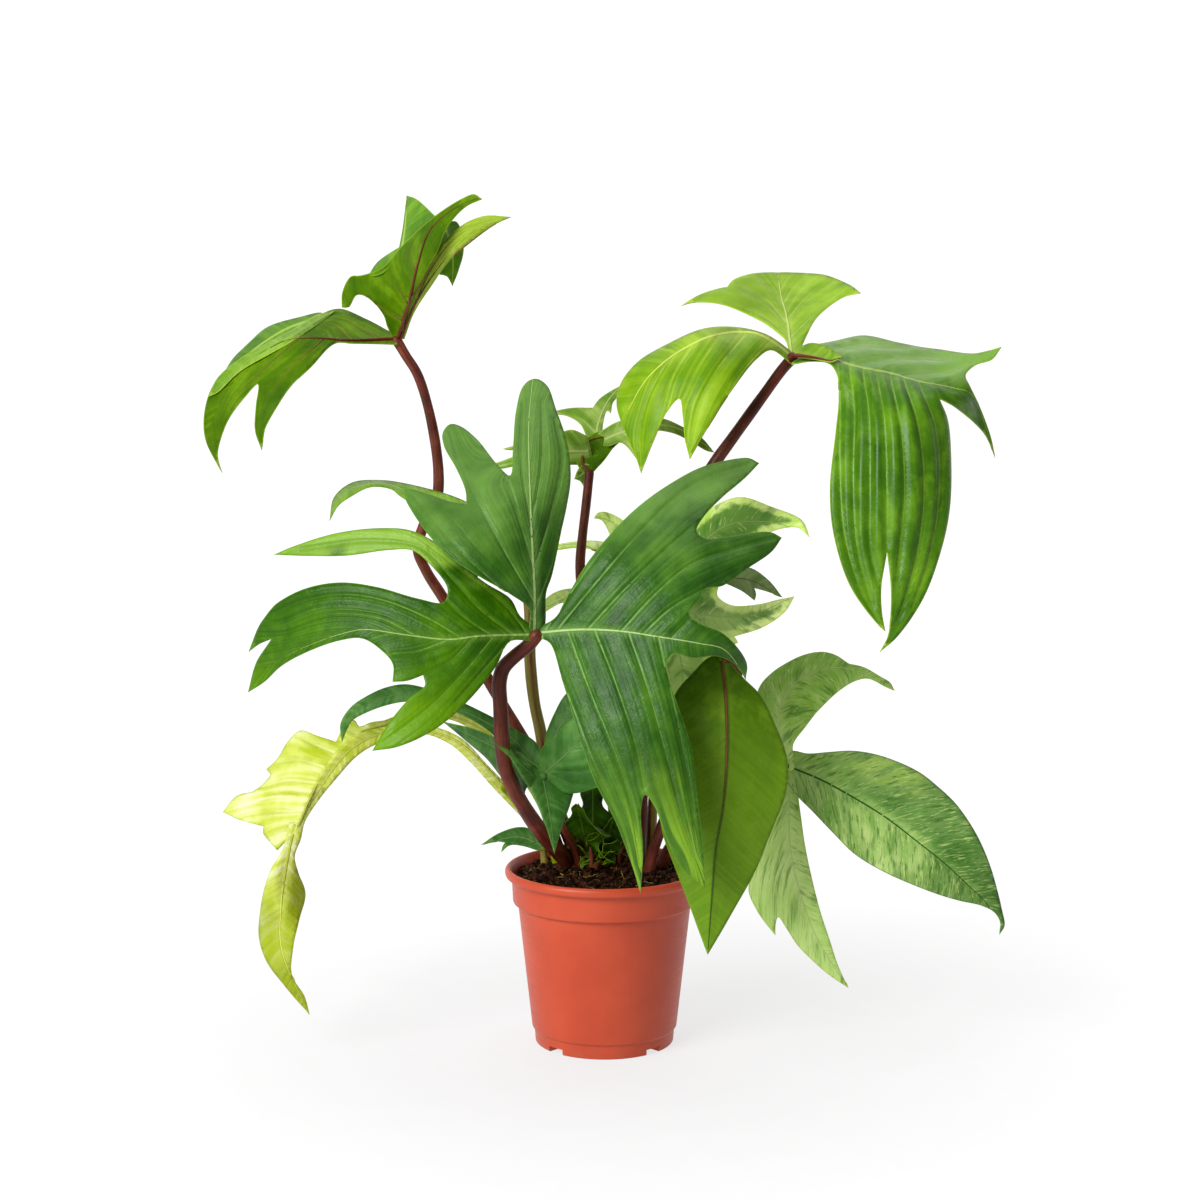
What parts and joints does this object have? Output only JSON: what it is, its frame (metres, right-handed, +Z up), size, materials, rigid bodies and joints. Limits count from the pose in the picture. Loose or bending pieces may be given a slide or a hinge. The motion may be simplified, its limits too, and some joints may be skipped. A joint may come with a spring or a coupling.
{
  "type": "potted florida ghost philodendron",
  "caption": "Potted climbing aroid with long-stalked, deeply lobed leaves in green, lime and cream, in a round plastic nursery pot.",
  "frame": {"origin": "centre of the pot's base, on the surface that the pot stands on", "axes": "+Z up; -Y towards the viewer, the side that the large front leaf faces; +X to the viewer's right"},
  "size_m": [0.4692, 0.2615, 0.5075],
  "materials": {
    "pot": "smooth moulded terracotta-coloured plastic, slightly satin",
    "soil": "dark crumbly mix of bark chips and coir",
    "petiole": "smooth maroon stalk, satin",
    "leaf_deep": "deep green with pale ribs and yellow-green streaks, satin",
    "leaf_olive": "olive underside, softly satin",
    "leaf_lime": "lime green with darker streaks, satin",
    "leaf_pale": "pale green, satin",
    "leaf_mottled": "cream and pale green, mottled with dark green",
    "leaf_dark": "dark blue-green, satin",
    "leaf_young": "yellow-green, thin and still crinkled"
  },
  "bodies": {
    "root": {"pot": "pot", "soil": "soil", "shoots": "leaf_dark", "blade_front": "leaf_deep", "petiole_front": "petiole", "blade_upper_left": "leaf_olive", "petiole_upper_left": "petiole", "blade_upper_right": "leaf_lime", "petiole_upper_right": "petiole", "blade_back": "leaf_pale", "petiole_back": "petiole", "blade_mid_right": "leaf_mottled", "petiole_mid_right": "petiole", "blade_lower_right": "leaf_mottled", "petiole_lower_right": "petiole", "blade_hanging": "leaf_olive", "petiole_hanging": "petiole", "blade_low": "leaf_dark", "petiole_low": "petiole", "blade_rim": "leaf_dark", "petiole_rim": "petiole", "blade_mid_left": "leaf_lime", "petiole_mid_left": "petiole", "leaf_young": "leaf_young"}
  },
  "joints": []
}
